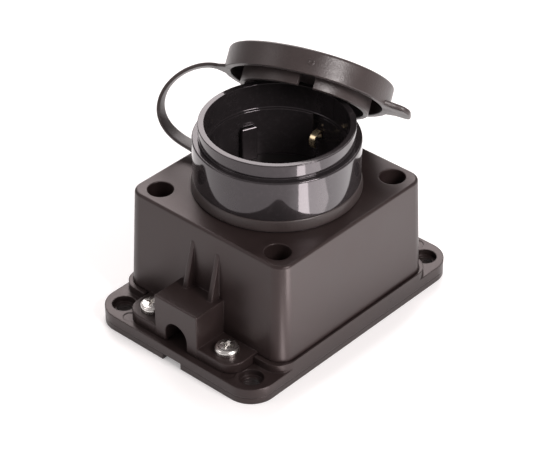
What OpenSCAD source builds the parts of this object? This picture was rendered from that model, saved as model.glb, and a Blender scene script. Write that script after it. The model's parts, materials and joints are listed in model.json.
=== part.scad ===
// Surface-mounted power socket box with a cable entry block and a tethered cap.
// Frame: origin at the centre of the rear face, +Z out along the socket's axis,
// -Y towards the cable entry. Millimetres.

/* [Base] */
// Width of the base across X
base_w = 70; // [69.6:0.1:71]
// Length of the base along Y
base_l = 99.6; // [98:0.2:104]
// Height of the base's end pads above the wall
base_h = 5.7; // [5.5:0.1:6.2]
// Radius of the base's corners
base_r = 9; // [7:0.5:10]
// Thickness of the rear plate
rear_t = 2.2; // [2:0.1:2.4]
// Length of the raised frame round the housing, along Y
frame_l = 74.6; // [74.4:0.1:76]
// Height of the raised frame above the wall
frame_h = 8.6; // [8:0.1:9]
// Mounting hole spacing across X
mount_x = 56; // [54:0.5:56]
// Mounting hole spacing along Y
mount_y = 85.4; // [84:0.2:86]
// Diameter of the mounting holes
mount_d = 5.2; // [4.5:0.1:5.6]
// Diameter of the counterbores over the mounting holes
mount_head_d = 7.8; // [7:0.1:8.4]

/* [Housing] */
// Height of the housing's top face above the wall
body_h = 44.2; // [44:0.1:46]
// Width of the housing at its top, across X
top_w = 65.4; // [65:0.1:66]
// Length of the housing at its top, along Y
top_l = 68.3; // [68:0.1:69]
// Growth of each side of the housing from its top to its foot
draft = 1.4; // [1:0.1:1.45]
// Wall thickness of the housing
wall = 2.5; // [2:0.1:2.8]
// Thickness of the housing's top
top_t = 3.8; // [3.4:0.1:4.2]
// Radius of the housing's upright corners
body_r = 5.5; // [4:0.5:6]
// Spacing of the four screw wells across X
well_x = 50; // [49:0.5:51]
// Spacing of the four screw wells along Y
well_y = 54.8; // [54:0.2:55.6]
// Diameter of the screw wells
well_d = 8.4; // [8:0.1:8.8]

/* [Cable entry] */
// Width of the entry block
entry_w = 18.4; // [17:0.2:19]
// Height of the entry block above the wall
entry_h = 21.6; // [19:0.2:23]
// How far the block's front face stands from the axis
entry_y = 47.5; // [46.5:0.1:48]
// Width of the cable arch
arch_w = 9.1; // [8:0.1:10]
// Height of the arch's crown above the wall
arch_h = 13.9; // [13:0.1:15]
// Height of the two fastening ears above the wall
ear_h = 9.2; // [8.8:0.1:10]
// Distance of each ear's screw from the middle plane
ear_screw_x = 16.3; // [15:0.1:17]

/* [Socket collar] */
// Radius of the collar's outer wall
collar_r = 26.9; // [26.8:0.05:27]
// Height of the collar's rim above the wall
rim_h = 67.3; // [66.5:0.1:68.5]
// Height of the shoulder that the cap's skirt meets
shoulder_h = 62.2; // [61.5:0.1:62.5]
// Radius of the neck above the shoulder
neck_r = 25; // [24.9:0.05:25.1]
// Radius of the bore at the rim
bore_r = 22.9; // [22.8:0.05:23.1]
// Height of the ledge at the foot of the wide bore
ledge_h = 58.2; // [57.5:0.1:59]
// Radius of the plug recess below the ledge
recess_r = 22; // [21.95:0.05:22.2]
// Height of the recess floor above the wall
floor_h = 41; // [40.6:0.1:41.4]
// Turn of the contact insert about the axis, in degrees
insert_turn = 5; // [0:1:8]
// Turn of the moulded guide ribs about the axis, in degrees
rib_turn = 158; // [150:1:166]
// Distance of each live pin from the axis
pin_x = 9.5; // [9.4:0.1:9.6]

/* [Cap and tether] */
// Outer radius of the cap's skirt
cap_r = 27.4; // [27.2:0.05:27.5]
// Height of the cap
cap_h = 7.95; // [7.7:0.05:8.2]
// Outer radius of the cap's inner plug ring
plug_r = 21.3; // [21:0.1:21.4]
// How far the plug ring stands below the skirt
plug_out = 2.95; // [2.5:0.05:3]
// Tilt of the open cap away from level, in degrees
cap_tilt = 45.3; // [44:0.1:47]
// Direction in which the open cap leans back, in degrees
cap_lean = 111.3; // [110:0.1:113]
// Width of the tether strap
strap_w = 5; // [4:0.1:5.6]
// Thickness of the tether strap
strap_t = 1.1; // [0.8:0.1:1.3]

/* [Hidden] */
$fn = 96;
gap = 0.05;
slack = 0.1;
plastic = [0.20, 0.18, 0.17];
gloss = [0.10, 0.10, 0.12];
brass = [0.78, 0.62, 0.32];
nickel = [0.75, 0.75, 0.74];
rubber = [0.22, 0.20, 0.19];
phenolic = [0.12, 0.12, 0.12];

// Base
seat_z = rear_t + 0.03;
notch_x = -3.7;
notch_w = 7.7;
counterbore_t = 2.2;
frame_r = 6.5;
clamp_x = 9.6;
clamp_y = -25;
clamp_post_r = 3.2;
clamp_post_h = 10.4;
clamp_t = 4.6;
insert_r = 2.87;
insert_z = 4.45;
nut_r = 4.04;
nut_t = 2.4;
// Foot of the housing, just above the base's pads
foot_z = base_h + slack;
foot_w = top_w + 2 * draft;
foot_l = top_l + 2 * draft;
frame_gap = 0.15;
// Marks left by the mould's ejector pins
ejector_x = 21.6;
ejector_y = 46.4;
ejector_r = 2.2;
ejector_t = 0.15;
ceiling_z = body_h - top_t;
// Screw columns
well_floor_z = 16;
column_z = 12.7;
column_r = 6;
top_edge_r = 0.9;
// Gussets between the entry block and the housing
gusset_xs = [-4.4, 6.2];
gusset_t = 2;
gusset_top_t = 1.5;
gusset_foot_y = -38.7;
gusset_top_z = 37.8;
// Ears
ear_r = 5.7;
ear_x = 18.1;
ear_y = entry_y - 0.2 - ear_r;
ear_screw_y = 41.3;
ear_side = ear_x + ear_r;
// Screws
shank_r = 1.98;
clamp_shank_r = 1.4;
tapped_r = 2.02;
clear_r = 2.2;
// Collar
tube_z = 37;
flange_t = 2.6;
gasket_t = 0.75;
flange_half_w = 30;
flange_half_l = 16.5;
flange_screw_x = 27.6;
flange_screw_y = 12.5;
flange_round_r = 29.8;
flange_tapped_r = 1.22;
flange_clear_r = 1.45;
ring_seat_r = 26.2;
ring_top = 48.2;
ring_clear = 0.05;
ring_r = 27.45;
lug_reach = 28.5;
lug_z = 45.5;
lug_w = 6;
lug_t = 2.6;
carrier_r = recess_r - slack;
carrier_z = 24;
channel_w = 4.2;
channel_r = 23.6;
insert_screw_r = 24.4;
rib_w = 5.6;
rib_depth = 2.2;
rib_top = 53.5;
// Contacts
shoe_r = 26.4;
shoe_t = 2.8;
sleeve_z = 29;
sleeve_top = 38.4;
sleeve_r = 3.4;
pin_bore_r = 2.45;
pin_clear_r = 2.75;
pin_mouth_r = 3.6;
pin_mouth_t = 0.8;
sleeve_clear_r = 4;
sleeve_seat_z = 27.5;
cover_t = 2;
terminal_z = 16.4;
earth_strip_t = 0.8;
earth_strip_w = 3;
earth_leg_r = 22.6;
earth_leg_top = 48.2;
bow_r = 21.4;
bow_z = 50.4;
bow_out_r = 3.1;
// Cap
ceiling_h = 5.5;
skirt_in = 25.2;
plug_t = 1.6;
tab_turn = -80;
tab_reach = 34.7;
root_turn = 105.2;
root_reach = 31.2;
slot_turn = -165;
cap_centre = [-8.8, 23.7, 64.0];
// Strap: it leaves the ring at strap_turn and meets the cap's root
strap_turn = 190.3;
strap_steps = 26;
hinge_gap = 0.85;
strap_mid = 0.9;

// ---- shared shapes ----

module rounded_outline(w, l, r) {
    square([w - 2 * r, l], center = true);
    square([w, l - 2 * r], center = true);
    for (x = [-1, 1], y = [-1, 1])
        translate([x * (w / 2 - r), y * (l / 2 - r)])
            circle(r = r);
}

module slab(w, l, r, z0, z1) {
    translate([0, 0, z0])
        linear_extrude(z1 - z0)
            rounded_outline(w, l, r);
}

module at_corners(sx, sy) {
    for (x = [-1, 1], y = [-1, 1])
        translate([x * sx / 2, y * sy / 2, 0])
            children();
}

module tube(ro, ri, z0, z1) {
    translate([0, 0, z0])
        difference() {
            cylinder(r = ro, h = z1 - z0);
            translate([0, 0, -1])
                cylinder(r = ri, h = z1 - z0 + 2);
        }
}

// Cross-headed screw with its head's seat at z = 0 and its shank down to -len
module cross_screw(head_r, head_h, r, len) {
    dome_r = (head_r * head_r + head_h * head_h) / (2 * head_h) * 1.12;
    difference() {
        union() {
            intersection() {
                cylinder(r = head_r, h = head_h);
                translate([0, 0, head_h - dome_r])
                    sphere(r = dome_r);
            }
            translate([0, 0, -len])
                cylinder(r = r, h = len + 0.2);
        }
        for (turn = [0, 90])
            rotate([0, 0, turn])
                translate([-head_r * 0.55, -head_r * 0.11, head_h * 0.45])
                    cube([head_r * 1.1, head_r * 0.22, head_h]);
    }
}

// ---- base ----

module rear_plate() {
    color(plastic)
        difference() {
            slab(base_w, base_l, base_r, 0, rear_t);
            at_corners(mount_x, mount_y)
                translate([0, 0, -1])
                    cylinder(d = mount_d, h = rear_t + 2);
            // drain notch under the cable entry
            translate([notch_x, -base_l / 2 - 1, -1])
                cube([notch_w, 5, rear_t + 2]);
        }
}

module frame_ring() {
    difference() {
        slab(base_w, frame_l, frame_r, base_h - 1, frame_h);
        slab(foot_w + 2 * frame_gap, foot_l + 2 * frame_gap, body_r + 0.6, base_h - 2, frame_h + 1);
        // the ears and the entry block pass through the frame
        translate([-ear_side - frame_gap, -frame_l / 2 - 1, base_h])
            cube([2 * (ear_side + frame_gap), 8, frame_h]);
    }
}

module at_clamp_screws(z) {
    for (x = [-clamp_x, clamp_x])
        translate([x, clamp_y, z])
            children();
}

module at_ear_screws(z) {
    for (x = [-ear_screw_x, ear_screw_x])
        translate([x, -ear_screw_y, z])
            children();
}

module base_plate() {
    color(plastic)
        difference() {
            union() {
                slab(base_w, base_l, base_r, seat_z, base_h);
                frame_ring();
                at_corners(well_x, well_y)
                    translate([0, 0, base_h - 1])
                        cylinder(r = column_r - 1, h = column_z - slack - base_h + 1);
                at_clamp_screws(base_h - 1)
                    cylinder(r = clamp_post_r, h = clamp_post_h - base_h + 1);
            }
            at_corners(mount_x, mount_y) {
                translate([0, 0, seat_z - 1])
                    cylinder(d = mount_d, h = base_h);
                translate([0, 0, base_h - counterbore_t])
                    cylinder(d = mount_head_d, h = counterbore_t + 1);
            }
            // blind pockets for the threaded inserts
            at_corners(well_x, well_y)
                translate([0, 0, insert_z - gap])
                    cylinder(r = insert_r + 0.03, h = column_z);
            // pilot holes for the clamp's screws
            at_clamp_screws(4)
                cylinder(r = clamp_shank_r + 0.02, h = column_z);
            // ear screws and their captive nuts
            at_ear_screws(seat_z - 1) {
                cylinder(r = clear_r, h = base_h);
                cylinder(r = nut_r + slack, h = nut_t + 1.1, $fn = 6);
            }
            for (x = [-ejector_x, ejector_x], y = [-ejector_y, ejector_y])
                translate([x, y, base_h - ejector_t])
                    cylinder(r = ejector_r, h = 1);
            // groove for the seal
            seal_channel(base_h - 0.8, base_h + 1, 0);
        }
}

module seal_channel(z0, z1, trim) {
    difference() {
        slab(foot_w - 0.6 - 2 * trim, foot_l - 0.6 - 2 * trim, body_r - 0.3, z0, z1);
        slab(foot_w - 3.8 + 2 * trim, foot_l - 3.8 + 2 * trim, body_r - 1.9, z0 - 1, z1 + 1);
    }
}

module base_seal() {
    color(rubber)
        seal_channel(base_h - 0.75, foot_z - gap, gap);
}

module base_inserts() {
    color(brass)
        at_corners(well_x, well_y)
            tube(insert_r, tapped_r, insert_z, column_z - slack);
}

// ---- housing ----

// Tapered block with rounded upright corners and a rounded top edge
module drafted_block(inset, z_top, edge, z_foot = foot_z) {
    w0 = foot_w - 2 * inset;
    l0 = foot_l - 2 * inset;
    r0 = body_r - inset * 0.8;
    slope = draft / (body_h - foot_z);
    hull() {
        slab(w0, l0, r0, z_foot, z_foot + 0.01, $fn = 40);
        for (a = [0 : 22.5 : 90]) {
            z = z_top - edge * (1 - sin(a));
            cut = slope * (z - foot_z) + edge * (1 - cos(a));
            slab(w0 - 2 * cut, l0 - 2 * cut, r0 - cut * 0.4, z - 0.01, z, $fn = 40);
        }
    }
}

module entry_block() {
    front = -entry_y;
    translate([-entry_w / 2, front, foot_z])
        cube([entry_w, entry_y - top_l / 2 + 1, entry_h - foot_z]);
    for (side = [-1, 1]) {
        translate([side * ear_x, -ear_y, foot_z])
            cylinder(r = ear_r, h = ear_h - foot_z);
        translate([side > 0 ? 0 : -ear_x, -ear_y - ear_r, foot_z])
            cube([ear_x, ear_r + 1, ear_h - foot_z]);
        translate([side > 0 ? 0 : -ear_side, -ear_y, foot_z])
            cube([ear_side, ear_y - top_l / 2 + 1, ear_h - foot_z]);
    }
}

// Upright triangular rib between the block's top and the housing's face
module gusset(x) {
    face = -top_l / 2;
    foot = entry_h - 0.5;
    translate([x, 0, 0])
        intersection() {
            rotate([90, 0, 90])
                linear_extrude(gusset_t, center = true)
                    polygon([[gusset_foot_y, foot], [face - 0.3, gusset_top_z],
                        [face + 1, gusset_top_z], [face + 1, foot]]);
            // its sides draw in towards the top
            rotate([90, 0, 0])
                linear_extrude(entry_y)
                    polygon([[-gusset_t / 2, foot], [gusset_t / 2, foot],
                        [gusset_top_t / 2, gusset_top_z], [-gusset_top_t / 2, gusset_top_z]]);
        }
}

module cable_arch() {
    r = arch_w / 2;
    translate([0, 0, arch_h - r])
        rotate([90, 0, 0])
            cylinder(r = r, h = entry_y + 1);
    translate([-r, -entry_y - 1, foot_z - 1])
        cube([arch_w, entry_y + 1, arch_h - r - foot_z + 1]);
}

module housing() {
    color(plastic)
        difference() {
            union() {
                drafted_block(0, body_h, top_edge_r);
                entry_block();
                for (x = gusset_xs)
                    gusset(x);
            }
            // the wiring space, with the four screw columns left standing in it
            difference() {
                drafted_block(wall, ceiling_z, slack, foot_z - slack);
                at_corners(well_x, well_y)
                    translate([0, 0, column_z])
                        cylinder(r = column_r, h = body_h);
            }
            at_corners(well_x, well_y) {
                translate([0, 0, well_floor_z])
                    cylinder(d = well_d, h = body_h);
                translate([0, 0, foot_z - 1])
                    cylinder(r = clear_r, h = body_h);
            }
            translate([0, 0, ceiling_z - 1])
                cylinder(r = collar_r + slack, h = top_t + 2);
            at_flange_screws(ceiling_z - 1)
                cylinder(r = flange_tapped_r, h = top_t + 0.1);
            at_ear_screws(foot_z - 1)
                cylinder(r = clear_r, h = ear_h);
            cable_arch();
        }
}

module housing_screws() {
    color(nickel)
        at_corners(well_x, well_y)
            translate([0, 0, well_floor_z])
                cross_screw(3.6, 2.6, shank_r, 10.5);
}

module entry_screws() {
    color(nickel)
        at_ear_screws(ear_h)
            rotate([0, 0, 20])
                cross_screw(3.9, 2.6, shank_r, 6.6);
}

module entry_nuts() {
    color(nickel)
        at_ear_screws(seat_z + gap)
            difference() {
                cylinder(r = nut_r, h = nut_t, $fn = 6);
                translate([0, 0, -1])
                    cylinder(r = tapped_r, h = nut_t + 2);
            }
}

// ---- strain relief ----

module cable_clamp() {
    half_w = clamp_x + 3.6;
    half_l = 3;
    color(plastic)
        difference() {
            translate([-half_w, clamp_y - half_l, clamp_post_h + gap])
                cube([2 * half_w, 2 * half_l, clamp_t]);
            translate([0, clamp_y + half_l + 1, arch_h - arch_w / 2])
                rotate([90, 0, 0])
                    cylinder(r = 4.2, h = 2 * half_l + 2);
            at_clamp_screws(0)
                cylinder(r = 1.7, h = body_h);
        }
}

module clamp_screws() {
    color(nickel)
        at_clamp_screws(clamp_post_h + gap + clamp_t)
            cross_screw(2.9, 2, clamp_shank_r, 9);
}

// ---- collar ----

module collar_profile() {
    polygon([[recess_r, tube_z], [collar_r, tube_z], [collar_r, body_h], [ring_seat_r, body_h],
        [ring_seat_r, ring_top + slack], [collar_r, ring_top + slack], [collar_r, shoulder_h - 0.4],
        [collar_r - 0.4, shoulder_h], [neck_r - 0.4, shoulder_h], [neck_r - 0.4, shoulder_h + 0.8],
        [neck_r, shoulder_h + 0.8], [neck_r, rim_h - 0.3], [neck_r - 0.3, rim_h],
        [bore_r + 0.3, rim_h], [bore_r, rim_h - 0.3], [bore_r, ledge_h], [recess_r, ledge_h]]);
}

module at_flange_screws(z) {
    for (x = [-1, 1], y = [-1, 1])
        translate([x * flange_screw_x, y * flange_screw_y, z])
            children();
}

module flange_outline() {
    square([2 * flange_half_w, 2 * flange_half_l], center = true);
    circle(r = flange_round_r);
}

// Moulded rib that lets a plug in one way only
module guide_rib(turn) {
    rotate([0, 0, turn])
        intersection() {
            tube(recess_r + 0.5, recess_r - rib_depth, floor_h + gap, rib_top);
            translate([recess_r - 4, -rib_w / 2, 0])
                cube([6, rib_w, rim_h]);
        }
}

module socket_collar() {
    color(gloss)
        difference() {
            union() {
                rotate_extrude()
                    collar_profile();
                difference() {
                    translate([0, 0, tube_z])
                        linear_extrude(flange_t)
                            flange_outline();
                    translate([0, 0, tube_z - 1])
                        cylinder(r = collar_r - 1, h = flange_t + 2);
                }
                guide_rib(rib_turn);
                guide_rib(rib_turn + 180);
            }
            at_flange_screws(tube_z - 1)
                cylinder(r = flange_clear_r, h = 10);
            for (turn = [0, 180])
                rotate([0, 0, insert_turn + turn]) {
                    // channel for the earth clip
                    translate([-channel_w / 2, recess_r - 1, tube_z - 1])
                        cube([channel_w, channel_r - recess_r + 1, ledge_h - tube_z + 1]);
                    rotate([0, 0, 45])
                        translate([insert_screw_r, 0, tube_z - 1])
                            cylinder(r = 1.12, h = 7);
                }
        }
}

module collar_gasket() {
    color(rubber)
        difference() {
            translate([0, 0, tube_z + flange_t + 0.03])
                linear_extrude(gasket_t)
                    flange_outline();
            translate([0, 0, tube_z])
                cylinder(r = collar_r + gap, h = 10);
            at_flange_screws(tube_z)
                cylinder(r = 1.6, h = 10);
        }
}

module collar_screws() {
    color(nickel)
        at_flange_screws(tube_z)
            rotate([180, 0, 0])
                cross_screw(2.3, 1.8, 1.2, 6);
}

// ---- contact insert ----

module on_insert() {
    rotate([0, 0, insert_turn])
        children();
}

module contact_cover() {
    color(phenolic)
        on_insert()
            difference() {
                translate([0, 0, floor_h - cover_t])
                    cylinder(r = carrier_r, h = cover_t);
                for (x = [-pin_x, pin_x])
                    translate([x, 0, 0]) {
                        cylinder(r = pin_clear_r, h = rim_h);
                        translate([0, 0, floor_h - pin_mouth_t])
                            cylinder(r1 = pin_clear_r, r2 = pin_mouth_r, h = pin_mouth_t + gap);
                    }
                for (turn = [0, 180])
                    rotate([0, 0, turn])
                        translate([-channel_w / 2, 20, 0])
                            cube([channel_w, 5, rim_h]);
            }
}

module contact_carrier() {
    color(phenolic)
        on_insert()
            difference() {
                union() {
                    translate([0, 0, carrier_z])
                        cylinder(r = carrier_r, h = floor_h - cover_t - gap - carrier_z);
                    translate([0, 0, tube_z - shoe_t])
                        cylinder(r = shoe_r, h = shoe_t - gap);
                }
                for (x = [-pin_x, pin_x])
                    translate([x, 0, 0]) {
                        translate([0, 0, sleeve_seat_z])
                            cylinder(r = sleeve_clear_r, h = 20);
                        translate([-1.6, -1.6, 0])
                            cube([3.2, 3.2, 40]);
                    }
                for (turn = [0, 180])
                    rotate([0, 0, turn]) {
                        translate([-channel_w / 2, 21.4, 0])
                            cube([channel_w, 8, rim_h]);
                        rotate([0, 0, 45])
                            translate([insert_screw_r, 0, 0])
                                cylinder(r = 1.5, h = rim_h);
                    }
            }
}

module carrier_screws() {
    color(nickel)
        on_insert()
            for (turn = [45, 225])
                rotate([0, 0, turn])
                    translate([insert_screw_r, 0, tube_z - shoe_t])
                        rotate([180, 0, 0])
                            cross_screw(2.1, 1.6, 1.1, 8);
}

// Split sleeve that grips a round plug pin, with a tail down to its terminal
module pin_sleeve(x) {
    color(brass)
        on_insert()
            translate([x, 0, 0]) {
                difference() {
                    tube(sleeve_r, pin_bore_r, sleeve_z, sleeve_top);
                    translate([-0.45, -5, sleeve_z + 1])
                        cube([0.9, 10, 10]);
                }
                translate([0, 0, sleeve_z - 1.4])
                    cylinder(r = sleeve_r, h = 1.45);
                translate([-1.5, -1.5, carrier_z - gap])
                    cube([3, 3, 4]);
            }
}

module line_contact() {
    pin_sleeve(pin_x);
}

module neutral_contact() {
    pin_sleeve(-pin_x);
}

// Side outline of one half of the earth bracket: a foot, a leg and a bowed spring head
module earth_half() {
    foot = carrier_z - 0.95;
    translate([0, foot])
        square([earth_leg_r + earth_strip_t, earth_strip_t]);
    translate([earth_leg_r, foot])
        square([earth_strip_t, earth_leg_top - foot]);
    difference() {
        translate([bow_r, bow_z])
            difference() {
                circle(r = bow_out_r);
                circle(r = bow_out_r - earth_strip_t);
            }
        translate([earth_leg_r + 0.3, bow_z - 5])
            square([5, 10]);
    }
}

module earth_bracket() {
    color(brass)
        on_insert()
            for (turn = [90, 270])
                rotate([90, 0, turn])
                    linear_extrude(earth_strip_w, center = true)
                        earth_half();
}

module terminal(x, top) {
    color(brass)
        on_insert()
            translate([x, 0, 0])
                difference() {
                    translate([-3.9, -4, terminal_z])
                        cube([7.8, 8, top - terminal_z]);
                    translate([0, 0, terminal_z - 1])
                        cylinder(r = 1.45, h = 4);
                    translate([0, 5, terminal_z + 3.8])
                        rotate([90, 0, 0])
                            cylinder(r = 1.5, h = 10);
                }
}

module line_terminal() {
    terminal(pin_x, carrier_z - 0.1);
}

module neutral_terminal() {
    terminal(-pin_x, carrier_z - 0.1);
}

module earth_terminal() {
    terminal(0, carrier_z - 1);
}

module terminal_screws() {
    color(nickel)
        on_insert()
            for (x = [-pin_x, 0, pin_x])
                translate([x, 0, terminal_z])
                    rotate([180, 0, 0])
                        cross_screw(2.3, 1.8, 1.4, 2.8);
}

// ---- cap and tether ----

// Places a shape made in the cap's own frame: rim plane at z = 0, closed end up
module on_cap() {
    translate(cap_centre)
        rotate([0, 0, cap_lean])
            rotate([0, cap_tilt, 0])
                children();
}

module cap_shell() {
    rotate_extrude()
        polygon([[0, ceiling_h], [plug_r - plug_t, ceiling_h], [plug_r - plug_t, -plug_out],
            [plug_r, -plug_out], [plug_r, ceiling_h], [skirt_in, ceiling_h], [skirt_in, 0],
            [cap_r, 0], [cap_r, cap_h - 0.7], [cap_r - 0.25, cap_h - 0.2], [cap_r - 0.8, cap_h],
            [0, cap_h]]);
}

module pull_tab() {
    w = 13;
    rotate([0, 0, tab_turn])
        linear_extrude(2.2)
            difference() {
                union() {
                    translate([24, -w / 2])
                        square([tab_reach - 24 - 5, w]);
                    translate([tab_reach - 5, 0])
                        intersection() {
                            circle(r = w / 2);
                            translate([-3, -w / 2])
                                square([8, w]);
                        }
                }
                circle(r = cap_r - 1);
            }
}

module strap_root() {
    rotate([0, 0, root_turn])
        linear_extrude(2)
            difference() {
                polygon([[24, -5.5], [28.5, -3.6], [root_reach, -2.8], [root_reach, 2.8],
                    [28.5, 3.6], [24, 5.5]]);
                circle(r = cap_r - 1);
            }
}

module cap() {
    color(rubber)
        on_cap()
            difference() {
                union() {
                    cap_shell();
                    pull_tab();
                    strap_root();
                }
                rotate([0, 0, slot_turn])
                    translate([plug_r - plug_t - 1, -2.5, -plug_out - 1])
                        cube([plug_t + 1.6, 5, plug_out + ceiling_h - 0.5]);
            }
}

module cap_seal() {
    color(rubber)
        on_cap()
            tube(24.9, 22.3, ceiling_h - 0.5, ceiling_h - gap);
}

module tether_ring() {
    color(rubber)
        union() {
            tube(ring_r, ring_seat_r + ring_clear, body_h + 0.3, ring_top);
            rotate([0, 0, strap_turn])
                difference() {
                    translate([ring_r - 0.6, -lug_w / 2, lug_z])
                        cube([lug_reach - ring_r + 0.6, lug_w, lug_t]);
                    cylinder(r = ring_r - 0.3, h = 60);
                }
        }
}

// The strap's centre line is one cubic curve from the ring's lug to the cap's root.
function from_cap(p) = cap_centre + turn_z(cap_lean, turn_y(cap_tilt, p));
function turn_z(a, p) = [p[0] * cos(a) - p[1] * sin(a), p[0] * sin(a) + p[1] * cos(a), p[2]];
function turn_y(a, p) = [p[0] * cos(a) + p[2] * sin(a), p[1], p[2] * cos(a) - p[0] * sin(a)];
function unit(v) = v / norm(v);
function mix(a, b, t) = a * (1 - t) + b * t;

strap_a = turn_z(strap_turn, [lug_reach + gap, 0, lug_z + lug_t / 2]);
strap_b = strap_a + turn_z(strap_turn, [27.4, 0, 1.2]);
strap_d = from_cap([(root_reach + hinge_gap) * cos(root_turn),
    (root_reach + hinge_gap) * sin(root_turn), strap_mid]);
strap_c = strap_d + [-13, -10.6, -4.5];
width_a = turn_z(strap_turn, [0, 1, 0]);
width_d = from_cap([-sin(root_turn), cos(root_turn), 0]) - cap_centre;

function strap_point(t) = pow(1 - t, 3) * strap_a + 3 * pow(1 - t, 2) * t * strap_b
    + 3 * (1 - t) * t * t * strap_c + pow(t, 3) * strap_d;
function strap_along(t) = unit(pow(1 - t, 2) * (strap_b - strap_a)
    + 2 * (1 - t) * t * (strap_c - strap_b) + t * t * (strap_d - strap_c));
function strap_across(t) =
    let (along = strap_along(t), raw = mix(width_a, width_d, t))
    unit(raw - along * (raw * along));
// The four corners of the band at t
function strap_ring(t) =
    let (p = strap_point(t), w = strap_across(t) * strap_w / 2,
        h = cross(strap_along(t), strap_across(t)) * strap_t / 2)
    [p - w - h, p + w - h, p + w + h, p - w + h];

module tether_strap() {
    rings = [for (i = [0 : strap_steps]) each strap_ring(i / strap_steps)];
    last = 4 * strap_steps;
    sides = [for (i = [0 : strap_steps - 1], k = [0 : 3])
        let (a = 4 * i + k, b = 4 * i + (k + 1) % 4)
        each [[a, b, b + 4], [a, b + 4, a + 4]]];
    ends = [[0, 2, 1], [0, 3, 2], [last, last + 1, last + 2], [last, last + 2, last + 3]];
    color(rubber)
        polyhedron(rings, concat(sides, ends));
}

rear_plate();
base_plate();
base_inserts();
base_seal();
housing();
housing_screws();
entry_screws();
entry_nuts();
cable_clamp();
clamp_screws();
socket_collar();
collar_gasket();
collar_screws();
contact_cover();
contact_carrier();
carrier_screws();
line_contact();
neutral_contact();
earth_bracket();
line_terminal();
neutral_terminal();
earth_terminal();
terminal_screws();
tether_ring();
tether_strap();
cap();
cap_seal();
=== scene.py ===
import json
import math

import bmesh
import bpy
from mathutils import Matrix, Vector


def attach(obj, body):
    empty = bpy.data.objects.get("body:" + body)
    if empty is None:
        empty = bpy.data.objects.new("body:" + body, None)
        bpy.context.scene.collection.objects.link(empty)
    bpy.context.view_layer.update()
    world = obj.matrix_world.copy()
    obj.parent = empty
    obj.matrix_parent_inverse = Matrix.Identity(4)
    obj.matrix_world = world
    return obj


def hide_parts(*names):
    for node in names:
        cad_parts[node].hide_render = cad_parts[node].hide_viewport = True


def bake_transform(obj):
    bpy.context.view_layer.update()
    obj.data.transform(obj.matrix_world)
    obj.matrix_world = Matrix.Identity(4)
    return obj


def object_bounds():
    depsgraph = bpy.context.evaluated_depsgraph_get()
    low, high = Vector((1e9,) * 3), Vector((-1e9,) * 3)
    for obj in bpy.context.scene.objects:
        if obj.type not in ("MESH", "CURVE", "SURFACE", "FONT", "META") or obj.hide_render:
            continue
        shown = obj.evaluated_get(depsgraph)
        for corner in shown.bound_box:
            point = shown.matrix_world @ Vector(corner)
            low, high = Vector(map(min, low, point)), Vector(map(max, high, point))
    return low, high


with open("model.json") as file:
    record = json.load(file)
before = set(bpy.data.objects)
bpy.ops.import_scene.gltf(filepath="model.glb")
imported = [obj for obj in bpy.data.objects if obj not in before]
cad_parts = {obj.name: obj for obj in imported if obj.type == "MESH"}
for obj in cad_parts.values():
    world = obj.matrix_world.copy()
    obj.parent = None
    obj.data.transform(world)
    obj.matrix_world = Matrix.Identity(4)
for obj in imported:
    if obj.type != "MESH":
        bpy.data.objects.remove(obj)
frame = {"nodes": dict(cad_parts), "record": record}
CAD_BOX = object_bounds()

# The CAD's frame: origin at the centre of the rear face, +Z out along the socket's axis,
# -Y towards the cable entry. Shapes are drawn in millimetres and stored in metres. Materials, the
# camera and the softboxes are in metres.
MM = 0.001

SHARP_ANGLE = 35.0    # degrees; edges that turn more are kept crisp
BEVEL_SAMPLES = 5


# ---------------------------------------------------------------- materials

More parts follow.
